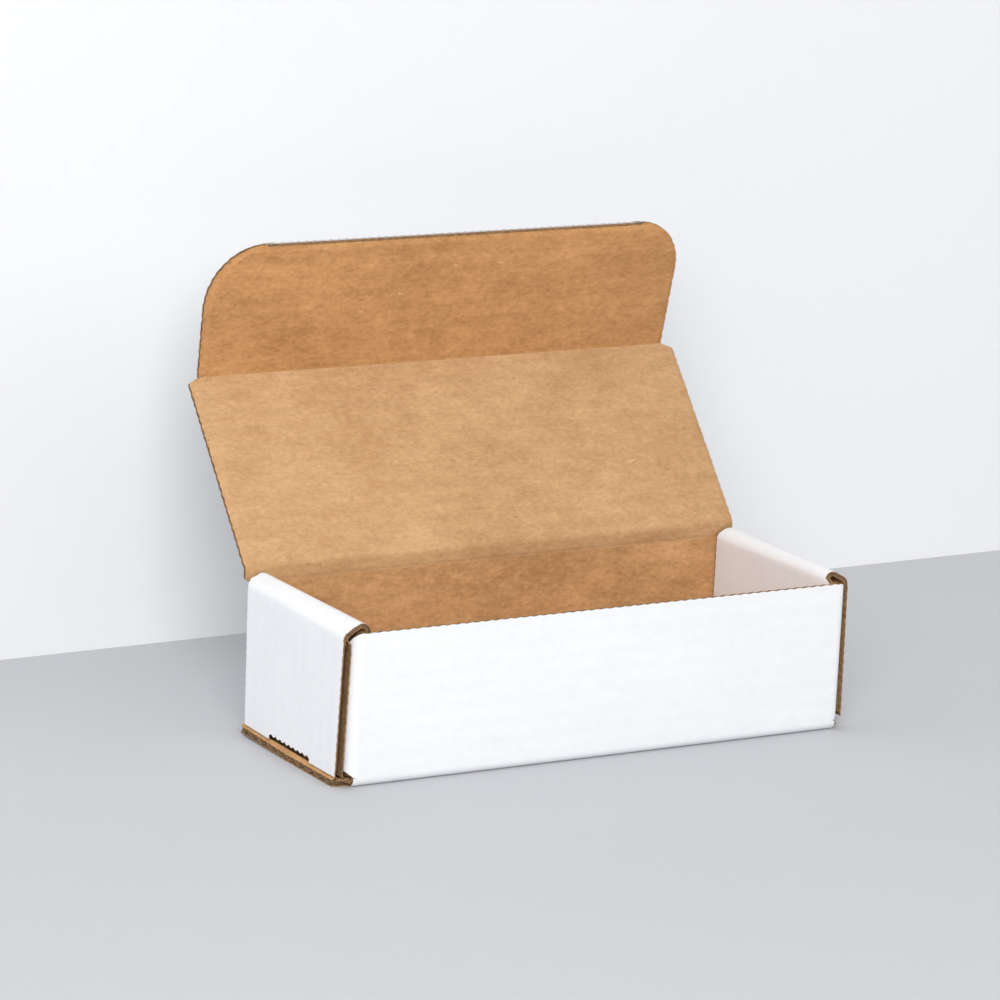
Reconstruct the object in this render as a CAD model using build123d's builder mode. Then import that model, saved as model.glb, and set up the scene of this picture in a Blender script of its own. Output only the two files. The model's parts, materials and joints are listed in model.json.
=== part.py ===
"""Corrugated mailer box: one die-cut sheet, folded, with its lid standing open.

X runs along the box, -Y is the front and +Z is up. The origin is the middle of the
underside. The tray holds everything that stays folded; the lid and its front flap
are parted from it only along the two creases that still move.
"""
from build123d import *
from math import atan2, cos, radians, sin, tan
import os

os.makedirs("parts", exist_ok=True)

# Board
board = 3.0            # thickness
layer_gap = 0.3        # air between two layers that lie against each other
fold_inside = 0.3      # radius left inside a folded crease

# Tray, measured over the outside
front_width = 184.0    # front wall, over its side folds
depth = 70.0           # front wall to back wall
wall_height = 50.0     # top of the front wall
corner_radius = 2.5    # top corners of the front wall

# Rolled ends
crease_drop = 1.0      # fold line of the outer panel, below the top of the front wall
end_rise = 3.8         # how far the top strip climbs to its inner fold line
end_front_inset = 2.0  # raw front edge, behind the face of the front wall
end_back_inset = 5.0   # raw back edge, in front of the face of the back wall
end_stand = 0.5        # height of the split crease under the outer panel
notch_middle = 2.0     # middle of the notch in the outer panel's bottom edge
notch_width = 27.0
notch_height = 1.3
lock_width = 25.0      # tab of the inner panel, in its slot in the base
lock_foot = 0.5        # its end, above the underside

# Dust tabs and base
tab_spacing = 9.4      # between the free edges of the front and back tabs
tab_drop = 4.0         # top of the tab, below the top of the front wall
tab_lift = 0.6         # foot of the tab, above the base
relief_width = 3.6     # slanted cut at the foot of each side fold
relief_height = 3.0
lip = 0.4              # raw edge of the base, proud of the outer panel
lip_corner = 4.5       # slanted corner of that edge, along the box's side
toe = 2.6              # bottom fold, on past the end of the wall above it

# Lid and flap
lid_clearance = 0.3    # between the closed lid and the top of the ends
lid_inset = 2.2        # from the outer face of the end to the side of the lid
lid_open = 42.0        # lean of the lid, back from upright
lid_chamfer = 2.5
crease_gap = 0.3       # clear space beside a crease that moves
flap_clearance = 0.5   # between the hanging flap and the front wall
flap_inset = 4.0       # from the lid's side to the flap's, at their crease
flap_length = 45.0     # crease to free edge
flap_flare = 1.8       # how far each side spreads along that length
flap_lean = 10.0       # lean of the flap, forward from upright
flap_left_radius = 22.0
flap_right_radius = 17.0

# Places that follow from those sizes. The layers of an end, from outside in, are the
# outer panel, the dust tab and the inner panel.
half_board = board / 2
fold_radius = half_board + fold_inside
wall_y = depth / 2 - half_board
base_flat_y = wall_y - fold_radius
tab_x = front_width / 2 - half_board
flat_half = tab_x - fold_radius
outer_x = tab_x + board + layer_gap
inner_x = tab_x - board - layer_gap
lip_x = outer_x + half_board + lip
tab_bottom = board + tab_lift
tab_top = wall_height - tab_drop
end_front = -depth / 2 + end_front_inset
end_back = depth / 2 - end_back_inset
end_bottom = board + end_stand
inner_bottom = board + layer_gap
inner_front = -depth / 2 + board + layer_gap
crease_height = wall_height - crease_drop
apex_height = crease_height + end_rise
strip_angle = atan2(end_rise, outer_x - inner_x)
apex_centre = apex_height - fold_radius * (tan(strip_angle) + 1 / cos(strip_angle))
end_top = apex_centre + fold_radius + half_board
hinge_height = end_top + lid_clearance + half_board
back_top = hinge_height - half_board - crease_gap
lid_length = depth + flap_clearance
lid_run = lid_length - half_board - crease_gap
panel_half = outer_x + half_board - lid_inset
flap_half = panel_half - flap_inset

with BuildPart() as tray:
    # The left half is made and mirrored. First the base with the front and back walls.
    with BuildSketch(Plane.YZ):
        with BuildLine():
            FilletPolyline(
                (wall_y, back_top),
                (wall_y, half_board),
                (-wall_y, half_board),
                (-wall_y, wall_height),
                radius=fold_radius,
            )
        trace(line_width=board)
    extrude(amount=-flat_half)

    # Bottom folds, carried on a little past the ends of the walls.
    with BuildSketch(Plane.YZ.offset(-flat_half)):
        for side in (1, -1):
            with BuildLine():
                CenterArc(
                    (side * base_flat_y, half_board + fold_radius),
                    radius=fold_radius,
                    start_angle=-90,
                    arc_size=side * 90,
                )
            trace(line_width=board)
    extrude(amount=-toe)

    # End of the base: a raw lip with slanted corners.
    with BuildSketch(Plane.XY):
        with BuildLine():
            Polyline(
                (-flat_half, base_flat_y),
                (-flat_half - toe, base_flat_y),
                (-lip_x, base_flat_y - lip_corner),
                (-lip_x, -base_flat_y + lip_corner),
                (-flat_half - toe, -base_flat_y),
                (-flat_half, -base_flat_y),
                close=True,
            )
        make_face()
    extrude(amount=board)

    # Side folds with their dust tabs, front and back.
    for side in (1, -1):
        with BuildSketch(Plane.XY.offset(tab_bottom)):
            with BuildLine():
                FilletPolyline(
                    (-flat_half + board, side * wall_y),
                    (-tab_x, side * wall_y),
                    (-tab_x, side * tab_spacing / 2),
                    radius=fold_radius,
                )
            trace(line_width=board)
        extrude(amount=wall_height - tab_bottom)

    # The tabs are lower than the walls, and the folds have a slanted foot.
    with BuildSketch(Plane.YZ.offset(-flat_half)):
        with BuildLine():
            Polyline(
                (-base_flat_y + fold_inside, wall_height),
                (-base_flat_y + tab_drop, tab_top),
                (base_flat_y - tab_drop, tab_top),
                (base_flat_y - fold_inside, wall_height),
                close=True,
            )
        make_face()
    extrude(amount=-board - fold_radius, mode=Mode.SUBTRACT)
    for side in (1, -1):
        with BuildSketch(Plane.XZ.offset(-side * depth / 2)):
            with BuildLine():
                Polyline(
                    (-front_width / 2, tab_bottom),
                    (-front_width / 2 + relief_width, tab_bottom),
                    (-front_width / 2, tab_bottom + relief_height),
                    close=True,
                )
            make_face()
        extrude(amount=side * (board + fold_inside), mode=Mode.SUBTRACT)

    # Rounded top corner of the front wall.
    with BuildSketch(Plane.XZ.offset(base_flat_y)):
        with Locations((-front_width / 2 + corner_radius, wall_height - corner_radius)):
            Rectangle(corner_radius, corner_radius, align=(Align.MAX, Align.MIN))
            Circle(corner_radius, mode=Mode.SUBTRACT)
    extrude(amount=fold_radius + board, mode=Mode.SUBTRACT)

    # Slot in the base for the inner panel's lock tab.
    with BuildSketch(Plane.XY):
        with Locations((-inner_x, notch_middle)):
            Rectangle(board + 2 * layer_gap, lock_width + 2 * layer_gap)
    extrude(amount=board, mode=Mode.SUBTRACT)

    # Rolled end: outer panel, slanted top strip and inner panel.
    with BuildSketch(Plane.XZ.offset(-end_back)):
        with BuildLine():
            FilletPolyline(
                (-outer_x, end_bottom),
                (-outer_x, crease_height),
                (-inner_x, apex_height),
                (-inner_x, inner_bottom),
                radius=fold_radius,
            )
        trace(line_width=board)
    extrude(amount=end_back - end_front)

    # The inner panel stops short of the front wall.
    with BuildSketch(Plane.XY.offset(inner_bottom)):
        with Locations((-inner_x, end_front)):
            Rectangle(board, inner_front - end_front, align=(Align.CENTER, Align.MIN))
    extrude(amount=wall_height + layer_gap - inner_bottom, mode=Mode.SUBTRACT)

    # Notch in the outer panel's bottom edge.
    with BuildSketch(Plane.XY.offset(end_bottom)):
        with Locations((-outer_x, notch_middle)):
            Rectangle(board, notch_width)
    extrude(amount=notch_height, mode=Mode.SUBTRACT)

    # Split crease: only the inner half of the board ties the outer panel to the base.
    with BuildSketch(Plane.XY.offset(board)):
        with Locations((-outer_x, end_front)):
            Rectangle(half_board, end_back - end_front, align=(Align.MIN, Align.MIN))
        with Locations((-outer_x, notch_middle)):
            Rectangle(board, notch_width, mode=Mode.SUBTRACT)
        with Locations((-outer_x, -base_flat_y)):
            Rectangle(board, lip_corner, mode=Mode.SUBTRACT)
    extrude(amount=end_stand)

    # Lock tab of the inner panel, standing in its slot.
    with BuildSketch(Plane.XY.offset(lock_foot)):
        with Locations((-inner_x, notch_middle)):
            Rectangle(board, lock_width)
    extrude(amount=inner_bottom - lock_foot)

    mirror(about=Plane.YZ)

lid_angle = radians(lid_open)
lid_along = Vector(0, sin(lid_angle), cos(lid_angle))
lid_hinge = Vector(0, wall_y, hinge_height)
lid_plane = Plane(origin=lid_hinge, x_dir=(1, 0, 0), z_dir=Vector(1, 0, 0).cross(lid_along))

with BuildPart() as lid:
    with BuildSketch(lid_plane):
        with BuildLine():
            Polyline(
                (-panel_half, 0),
                (-panel_half, lid_run - lid_chamfer),
                (-panel_half + lid_chamfer, lid_run),
                (panel_half - lid_chamfer, lid_run),
                (panel_half, lid_run - lid_chamfer),
                (panel_half, 0),
                close=True,
            )
        make_face()
    extrude(amount=half_board, both=True)

    # Rounded root, turning on the crease.
    with BuildSketch(Plane.YZ):
        with Locations((wall_y, hinge_height)):
            Circle(half_board)
    extrude(amount=panel_half, both=True)

flap_angle = radians(-flap_lean)
flap_along = Vector(0, sin(flap_angle), cos(flap_angle))
flap_hinge = lid_hinge + lid_along * lid_length
flap_plane = Plane(origin=flap_hinge, x_dir=(1, 0, 0), z_dir=Vector(1, 0, 0).cross(flap_along))

with BuildPart() as front_flap:
    with BuildSketch(flap_plane):
        with BuildLine():
            FilletPolyline(
                (-flap_half, 0),
                (-flap_half - flap_flare, flap_length),
                (flap_half + flap_flare, flap_length),
                (flap_half, 0),
                radius=[flap_left_radius, flap_right_radius],
            )
            Line((flap_half, 0), (-flap_half, 0))
        make_face()
    extrude(amount=half_board, both=True)

    # Rounded root, turning on the crease at the front of the lid.
    with BuildSketch(Plane.YZ):
        with Locations((flap_hinge.Y, flap_hinge.Z)):
            Circle(half_board)
    extrude(amount=flap_half, both=True)

tray.part.label = "tray"
lid.part.label = "lid"
front_flap.part.label = "front_flap"

export_step(tray.part, "parts/tray.step")
export_step(lid.part, "parts/lid.step")
export_step(front_flap.part, "parts/front_flap.step")

for piece in (tray, lid, front_flap):
    size = piece.part.bounding_box().size
    print(piece.part.label, len(piece.part.solids()), round(piece.part.volume), size)
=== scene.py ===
# Corrugated mailer box: every layer of the folded board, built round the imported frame.
import json
import math
import random

import bpy
from mathutils import Matrix, Vector


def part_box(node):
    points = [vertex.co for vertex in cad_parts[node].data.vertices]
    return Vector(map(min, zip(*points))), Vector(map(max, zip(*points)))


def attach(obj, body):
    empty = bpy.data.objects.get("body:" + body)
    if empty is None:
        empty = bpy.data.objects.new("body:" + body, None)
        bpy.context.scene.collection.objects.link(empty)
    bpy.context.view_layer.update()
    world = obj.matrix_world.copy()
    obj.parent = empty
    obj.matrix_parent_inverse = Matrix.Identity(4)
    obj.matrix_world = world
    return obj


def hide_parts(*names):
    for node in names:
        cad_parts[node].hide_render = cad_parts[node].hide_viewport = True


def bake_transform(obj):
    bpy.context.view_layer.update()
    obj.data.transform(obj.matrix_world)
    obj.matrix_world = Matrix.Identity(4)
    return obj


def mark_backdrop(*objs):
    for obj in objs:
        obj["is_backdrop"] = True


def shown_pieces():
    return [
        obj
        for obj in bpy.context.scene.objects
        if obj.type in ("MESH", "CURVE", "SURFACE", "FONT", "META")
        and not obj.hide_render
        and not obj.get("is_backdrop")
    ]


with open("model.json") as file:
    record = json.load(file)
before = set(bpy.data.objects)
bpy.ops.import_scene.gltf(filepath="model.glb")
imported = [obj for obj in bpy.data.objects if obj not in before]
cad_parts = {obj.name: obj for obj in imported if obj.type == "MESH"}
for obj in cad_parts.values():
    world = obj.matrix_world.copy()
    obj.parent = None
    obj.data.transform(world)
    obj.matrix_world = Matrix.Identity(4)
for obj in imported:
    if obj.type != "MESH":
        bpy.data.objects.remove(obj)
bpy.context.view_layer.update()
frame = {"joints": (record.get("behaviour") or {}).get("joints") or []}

mm = 0.001
near = 0.02 * mm

# Board sizes, and places taken from the frame.
board = {
    "thickness": 3.0 * mm,
    "liner": 0.32 * mm,
    "medium": 0.26 * mm,
    "flutePitch": 6.35 * mm,
    "toothPitch": 3.1 * mm,
    "toothDepth": 0.28 * mm,
    "gap": 0.3 * mm,         # air between two layers that lie together
    "foldInside": 0.3 * mm,
    "fluteInset": 0.12 * mm,  # flutes stop this far inside a side edge
    "fluteStart": 1.6 * mm,   # and start this far past a crease that moves
    "wallTop": 50.0 * mm,
    "lipProud": 0.4 * mm,    # base lip, beyond the outer end panel
}
half = board["thickness"] / 2
foldRadius = half + board["foldInside"]
toothStep = board["toothPitch"] / 2
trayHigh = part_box("tray")[1]
joints = {joint["name"]: joint for joint in frame["joints"]}
lidHinge = Vector(joints["lid_hinge"]["pos_m"])
flapHinge = Vector(joints["flap_hinge"]["pos_m"])
lidWay = (flapHinge - lidHinge).normalized()
lidLength = (flapHinge - lidHinge).length
lidHeading = math.degrees(math.atan2(lidWay.z, lidWay.y))
lipX = trayHigh.x
outerX = lipX - board["lipProud"] - half           # middle of the outer end panel
tabX = outerX - board["thickness"] - board["gap"]  # middle of the dust tab
innerX = tabX - board["thickness"] - board["gap"]  # middle of the inner end panel
flatHalf = tabX - foldRadius                       # where the side folds start
wallY = trayHigh.y - half
baseY = wallY - foldRadius                         # where the bottom folds start
wallTop = board["wallTop"]
foldTop = half + foldRadius                        # where a bottom fold ends on its wall
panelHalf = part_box("lid")[1].x


# Modelling helpers.
def clearSelection():
    if bpy.context.mode != "OBJECT":
        bpy.ops.object.mode_set(mode="OBJECT")
    bpy.ops.object.select_all(action="DESELECT")


def makeActive(piece):
    clearSelection()
    piece.select_set(True)
    bpy.context.view_layer.objects.active = piece


def pick(piece, test):
    # Opens the piece in edit mode, with the points selected where test says so.
    makeActive(piece)
    mesh = piece.data
    chosen = [bool(test(v.co)) for v in mesh.vertices]
    for v in mesh.vertices:
        v.select = chosen[v.index]
    for e in mesh.edges:
        e.select = all(chosen[i] for i in e.vertices)
    for f in mesh.polygons:
        f.select = all(chosen[i] for i in f.vertices)
    bpy.ops.object.mode_set(mode="EDIT")
    bpy.ops.mesh.select_mode(type="VERT")


def editDone():
    bpy.ops.object.mode_set(mode="OBJECT")


def extrudeBy(move):
    bpy.ops.mesh.extrude_region_move(TRANSFORM_OT_translate={"value": tuple(move)})


def spinBy(angle, centre, axis, steps):
    bpy.ops.mesh.spin(steps=steps, angle=-angle, center=tuple(centre), axis=axis)


def applyModifiers(piece):
    makeActive(piece)
    for modifier in list(piece.modifiers):
        bpy.ops.object.modifier_apply(modifier=modifier.name)


def nameIt(piece, name):
    piece.name = name
    piece.data.name = name


def addBlock(low, high):
    clearSelection()
    bpy.ops.mesh.primitive_cube_add(size=1, location=tuple((low + high) / 2))
    block = bpy.context.object
    block.scale = high - low
    bpy.ops.object.transform_apply(location=True, rotation=True, scale=True)
    return block


def portion(value, whole=1.0):
    # The value as a share of the whole, from 0 to 1.
    return min(1.0, max(0.0, value / whole))


def eased(share):
    return share * share * (3 - 2 * share)


def moveFrame(piece, matrix):
    piece.data.transform(matrix)
    piece.data.update()


def removeFaces(piece, test):
    makeActive(piece)
    for v in piece.data.vertices:
        v.select = False
    for e in piece.data.edges:
        e.select = False
    for f in piece.data.polygons:
        f.select = bool(test(f.center))
    bpy.ops.object.mode_set(mode="EDIT")
    bpy.ops.mesh.select_mode(type="FACE")
    bpy.ops.mesh.delete(type="FACE")
    editDone()


def splitAcross(piece, test, places):
    # Cuts the picked faces by planes square to X.
    for x in places:
        pick(piece, test)
        bpy.ops.mesh.bisect(plane_co=(x, 0, 0), plane_no=(1, 0, 0))
        editDone()


def slide(piece, shift):
    # Moves each point by shift(its place).
    for v in piece.data.vertices:
        v.co += Vector(shift(v.co))


def headingWay(angle):
    return Vector((0, math.cos(angle), math.sin(angle)))


def rollSheet(name, ends, start, heading, steps, offset=0.0, rowPitch=1.0, columns=1):
    # A sheet rolled along a board's middle line in the YZ plane, at an offset to the line's left.
    # A step is ("run", length) or ("fold", degrees, radius, segments). Returns it and its rows:
    # place, distance along the sheet, and the way to its left.
    angle = math.radians(heading)
    place = Vector((0, start[0], start[1]))
    left = headingWay(angle + math.pi / 2)
    rows = [(place + left * offset, 0.0, left)]
    travelled = 0.0
    piece = None
    for step in steps:
        along = headingWay(angle)
        left = headingWay(angle + math.pi / 2)
        if step[0] == "run":
            count = max(1, round(step[1] / rowPitch))
            move = along * (step[1] / count)
            for _ in range(count):
                if piece is None:
                    bpy.ops.mesh.primitive_grid_add(x_subdivisions=columns, y_subdivisions=1, size=1)
                    piece = bpy.context.object
                    nameIt(piece, name)
                    piece.matrix_world = (
                        Matrix.Translation(place + left * offset + move / 2
                                           + Vector(((ends[0] + ends[1]) / 2, 0, 0)))
                        @ Matrix.Rotation(angle, 4, "X")
                        @ Matrix.Diagonal((ends[1] - ends[0], move.length, 1, 1))
                    )
                    bpy.ops.object.transform_apply(location=True, rotation=True, scale=True)
                    far = rows[0][0] + move
                    pick(piece, lambda co: abs((co - far).dot(along)) < near)
                else:
                    extrudeBy(move)
                place = place + move
                travelled += move.length
                rows.append((place + left * offset, travelled, left))
        else:
            turn = math.radians(step[1])
            radius, count = step[2], step[3]
            centre = place + left * math.copysign(radius, turn)
            spinBy(turn, centre, (1, 0, 0), count)
            edge = place + left * offset - centre
            for k in range(1, count + 1):
                part = Matrix.Rotation(turn * k / count, 3, "X")
                rows.append((centre + part @ edge, travelled + radius * abs(turn) * k / count, part @ left))
            travelled += radius * abs(turn)
            place = centre + Matrix.Rotation(turn, 3, "X") @ (place - centre)
            angle += turn
    editDone()
    return piece, rows


def nearestRow(rows, co):
    flat = Vector((0, co.y, co.z))
    return min(rows, key=lambda row: (row[0] - flat).length_squared)


def shapeSides(piece, rows, lowSide, highSide, insets=(0.0,)):
    # Sets how far each row reaches, from the distance along the sheet, and packs its columns
    # at these insets from either side.
    xs = sorted({round(v.co.x, 7) for v in piece.data.vertices})
    for v in piece.data.vertices:
        along = nearestRow(rows, v.co)[1]
        column = min(range(len(xs)), key=lambda k: abs(xs[k] - v.co.x))
        if column < len(insets):
            v.co.x = lowSide(along) + insets[column]
        else:
            v.co.x = highSide(along) - insets[len(xs) - 1 - column]
    piece.data.update()


pressed = {
    "kept": 0.40,            # share of the thickness left at the very edge
    "width": 2.4 * mm,
    "level": -0.7 * mm,      # the edge is pressed to here, towards the outer liner
}
edgeColumns = (0.0, 0.5 * mm, 1.3 * mm, 2.4 * mm)


def pressEdges(piece, rows, depth, fromEdge, start=None, kept=pressed["kept"], level=pressed["level"]):
    # The cutting die presses the board thin along a raw edge. Depth is the sheet's offset from
    # the board's middle; a fluted sheet gives the start of its middle line instead.
    for v in piece.data.vertices:
        place, along, left = nearestRow(rows, v.co)
        keep = kept + (1 - kept) * eased(portion(fromEdge(v.co.x, along), pressed["width"]))
        above = depth if start is None else (v.co - start).dot(left)
        v.co -= left * (above - level) * (1 - keep)
    piece.data.update()


def toothEdge(piece, test, along, move, pitch=board["toothPitch"]):
    # Gives a straight raw edge its saw teeth.
    ends = [v.co.dot(along) for v in piece.data.vertices if test(v.co)]
    cuts = max(1, round((max(ends) - min(ends)) / (pitch / 2)) - 1)
    pick(piece, test)
    bpy.ops.mesh.subdivide(number_cuts=cuts + (cuts + 1) % 2)
    editDone()
    points = sorted((v for v in piece.data.vertices if test(v.co)), key=lambda v: v.co.dot(along))
    inner = {tuple(v.co) for v in points[1::2]}
    pick(piece, lambda co: tuple(co) in inner)
    bpy.ops.transform.translate(value=tuple(move))
    editDone()


def faceTowards(piece, probe, way):
    # Makes all faces agree, with the one nearest to probe facing way.
    pick(piece, lambda co: True)
    bpy.ops.mesh.remove_doubles(threshold=near / 2)
    bpy.ops.mesh.normals_make_consistent(inside=False)
    editDone()
    face = min(piece.data.polygons, key=lambda f: (f.center - probe).length_squared)
    if face.normal.dot(way) < 0:
        pick(piece, lambda co: True)
        bpy.ops.mesh.flip_normals()
        editDone()


def thicken(piece, thickness, finishes, centred=False):
    # Finishes are the face, its back and the cut rim.
    for finish in finishes:
        piece.data.materials.append(finish)
    solid = piece.modifiers.new("thickness", "SOLIDIFY")
    solid.thickness = thickness
    solid.offset = 0 if centred else -1
    solid.use_even_offset = True
    solid.material_offset = 1
    solid.material_offset_rim = 2
    applyModifiers(piece)
    pick(piece, lambda co: True)
    bpy.ops.mesh.normals_make_consistent(inside=False)
    editDone()
    bpy.ops.object.shade_smooth_by_angle(angle=math.radians(32))


def mirrored(piece, name, axis="X"):
    copy = piece.copy()
    copy.data = piece.data.copy()
    nameIt(copy, name)
    bpy.context.scene.collection.objects.link(copy)
    moveFrame(copy, Matrix.Scale(-1, 4, Vector((1, 0, 0)) if axis == "X" else Vector((0, 1, 0))))
    pick(copy, lambda co: True)
    bpy.ops.mesh.flip_normals()
    editDone()
    return copy


def joinAll(pieces, name):
    makeActive(pieces[0])
    for piece in pieces:
        piece.select_set(True)
    bpy.ops.object.join()
    joined = bpy.context.object
    nameIt(joined, name)
    return joined


def cutBox(piece, low, high):
    # Takes a box out of the piece.
    cutter = addBlock(low, high)
    cut = piece.modifiers.new("slot", "BOOLEAN")
    cut.operation = "DIFFERENCE"
    cut.solver = "EXACT"
    cut.object = cutter
    applyModifiers(piece)
    bpy.data.objects.remove(cutter)


def fluteSheet(name, ends, start, heading, length, phase=0.0, columns=1):
    # The fluted middle of a flat panel. Its waves run along X. Returns it and its rows.
    steps = 12
    swing = half - board["liner"] - board["medium"] / 2
    angle = math.radians(heading)
    along = headingWay(angle)
    left = headingWay(angle + math.pi / 2)
    count = round(length / board["flutePitch"] * steps)

    def onWave(k):
        turns = k / steps + phase
        wave = math.sin(math.tau * turns) * (1.12 - 0.12 * math.cos(2 * math.tau * turns))
        return Vector((0, *start)) + along * (length * k / count) + left * (swing * wave / 1.24)

    clearSelection()
    bpy.ops.mesh.primitive_grid_add(x_subdivisions=columns, y_subdivisions=1, size=1)
    piece = bpy.context.object
    nameIt(piece, name)
    first, second = onWave(0), onWave(1)
    tilt = math.atan2(second.z - first.z, second.y - first.y)
    piece.matrix_world = (
        Matrix.Translation((first + second) / 2 + Vector(((ends[0] + ends[1]) / 2, 0, 0)))
        @ Matrix.Rotation(tilt, 4, "X")
        @ Matrix.Diagonal((ends[1] - ends[0], (second - first).length, 1, 1))
    )
    bpy.ops.object.transform_apply(location=True, rotation=True, scale=True)
    pick(piece, lambda co: (co - second).dot(along) > -near)
    rows = [(first, 0.0, left), (second, length / count, left)]
    for k in range(2, count + 1):
        extrudeBy(onWave(k) - onWave(k - 1))
        rows.append((onWave(k), length * k / count, left))
    editDone()
    return piece, rows


def finishFlutes(piece, finish):
    thicken(piece, board["medium"], [finish, finish, finish], centred=True)
    for face in piece.data.polygons:
        face.use_smooth = True
    bpy.ops.object.shade_smooth_by_angle(angle=math.radians(50))


def placeOnEnd(piece):
    # From the local frame to an end's: across is Y, up the sheet is Z, and its left is +X.
    moveFrame(piece, Matrix(((0, 0, 1, 0), (1, 0, 0, 0), (0, 1, 0, 0), (0, 0, 0, 1))))


# Shader groups that several finishes share.
def newGroup(name, inputs, outputs):
    tree = bpy.data.node_groups.new(name, "ShaderNodeTree")
    for socket, kind, value in inputs:
        made = tree.interface.new_socket(name=socket, in_out="INPUT", socket_type=kind)
        if value is not None:
            made.default_value = value
    for socket, kind in outputs:
        tree.interface.new_socket(name=socket, in_out="OUTPUT", socket_type=kind)
    return tree, tree.nodes.new("NodeGroupInput"), tree.nodes.new("NodeGroupOutput")


def addNode(tree, kind, links=None, **settings):
    node = tree.nodes.new(kind)
    for key, value in settings.items():
        setattr(node, key, value)
    for socket, value in (links or {}).items():
        target = node.inputs[socket]
        if isinstance(value, bpy.types.NodeSocket):
            tree.links.new(value, target)
        else:
            target.default_value = value
    return node


def mathNode(tree, operation, first, second=None, clamp=False):
    links = {0: first} if second is None else {0: first, 1: second}
    return addNode(tree, "ShaderNodeMath", links, operation=operation, use_clamp=clamp).outputs[0]


def rangeNode(tree, value, fromLow, fromHigh, toLow=0.0, toHigh=1.0):
    links = {"Value": value, "From Min": fromLow, "From Max": fromHigh, "To Min": toLow, "To Max": toHigh}
    return addNode(tree, "ShaderNodeMapRange", links).outputs["Result"]


def noiseNode(tree, vector, scale, detail=3.0, roughness=0.55, squeeze=None):
    if squeeze:
        vector = addNode(tree, "ShaderNodeMapping", {"Vector": vector, "Scale": squeeze}).outputs[0]
    links = {"Vector": vector, "Scale": scale, "Detail": detail, "Roughness": roughness}
    return addNode(tree, "ShaderNodeTexNoise", links).outputs["Fac"]


def mixColour(tree, factor, first, second, blend="MIX"):
    node = addNode(tree, "ShaderNodeMix", data_type="RGBA", blend_type=blend)
    for socket, value in (("Factor", factor), ("A", first), ("B", second)):
        target = next(s for s in node.inputs if s.name == socket and s.enabled)
        if isinstance(value, bpy.types.NodeSocket):
            tree.links.new(value, target)
        else:
            target.default_value = value
    return next(s for s in node.outputs if s.enabled)


def paperGrainGroup():
    # Cloudy formation, short fibres, dark specks and pale flecks of paper.
    tree, inputs, outputs = newGroup(
        "paperGrain",
        [("Vector", "NodeSocketVector", None)],
        [("Cloud", "NodeSocketFloat"), ("Fibre", "NodeSocketFloat"), ("Speck", "NodeSocketFloat"),
         ("Fleck", "NodeSocketFloat")],
    )
    vector = inputs.outputs["Vector"]
    broad = noiseNode(tree, vector, 42, 3, 0.6, (0.7, 1.0, 1.0))
    patchy = noiseNode(tree, vector, 260, 3, 0.6, (0.55, 1.0, 1.0))
    grainy = noiseNode(tree, vector, 820, 3, 0.65, (0.55, 1.0, 1.0))
    cloud = mathNode(tree, "MULTIPLY", broad, 0.34)
    for layer, share in ((patchy, 0.28), (grainy, 0.38)):
        cloud = mathNode(tree, "ADD", cloud, mathNode(tree, "MULTIPLY", layer, share))
    tree.links.new(rangeNode(tree, cloud, 0.36, 0.64), outputs.inputs["Cloud"])
    across = noiseNode(tree, vector, 1500, 2, 0.5, (0.22, 1.0, 1.0))
    along = noiseNode(tree, vector, 1700, 2, 0.5, (1.0, 0.3, 1.0))
    fibre = mathNode(tree, "MAXIMUM", rangeNode(tree, across, 0.57, 0.72), rangeNode(tree, along, 0.60, 0.76))
    broken = rangeNode(tree, noiseNode(tree, vector, 300, 2), 0.42, 0.60)
    tree.links.new(mathNode(tree, "MULTIPLY", fibre, broken), outputs.inputs["Fibre"])
    speck = noiseNode(tree, vector, 620, 2, 0.5, (0.7, 1.0, 1.0))
    tree.links.new(rangeNode(tree, speck, 0.66, 0.76), outputs.inputs["Speck"])
    fleck = noiseNode(tree, vector, 330, 2, 0.7, (0.4, 1.0, 1.0))
    tree.links.new(rangeNode(tree, fleck, 0.73, 0.79), outputs.inputs["Fleck"])
    return tree


def washboardGroup():
    # The flutes as they show faintly through a liner: ridges one flute apart along the vector's Y.
    tree, inputs, outputs = newGroup(
        "washboard",
        [("Vector", "NodeSocketVector", None), ("Pitch", "NodeSocketFloat", board["flutePitch"])],
        [("Ridge", "NodeSocketFloat")],
    )
    vector = inputs.outputs["Vector"]
    sway = mathNode(tree, "MULTIPLY", noiseNode(tree, vector, 30, 2), 1.6)
    place = addNode(tree, "ShaderNodeSeparateXYZ", {0: vector}).outputs["Y"]
    turns = mathNode(tree, "DIVIDE", place, inputs.outputs["Pitch"])
    phase = mathNode(tree, "ADD", mathNode(tree, "MULTIPLY", turns, math.tau), sway)
    ridge = rangeNode(tree, mathNode(tree, "SINE", phase), -1.0, 1.0)
    strength = noiseNode(tree, vector, 45, 2)
    tree.links.new(mathNode(tree, "MULTIPLY", ridge, strength), outputs.inputs["Ridge"])
    return tree


paperGrain = paperGrainGroup()
washboard = washboardGroup()


# Finishes.
def startFinish(name, roughness):
    finish = bpy.data.materials.new(name)
    finish.use_nodes = True
    tree = finish.node_tree
    shader = tree.nodes["Principled BSDF"]
    shader.inputs["Roughness"].default_value = roughness
    shader.inputs["Specular IOR Level"].default_value = 0.25
    return finish, tree, shader


def boardCoordinates(tree, heading, flutesUp=False):
    # Y runs across the flutes of a panel that lies at this heading.
    place = addNode(tree, "ShaderNodeTexCoord").outputs["Object"]
    turn = (0, 0, 0) if flutesUp else (math.radians(-heading), 0, 0)
    return addNode(tree, "ShaderNodeMapping", {"Vector": place, "Rotation": turn}).outputs[0]


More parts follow.
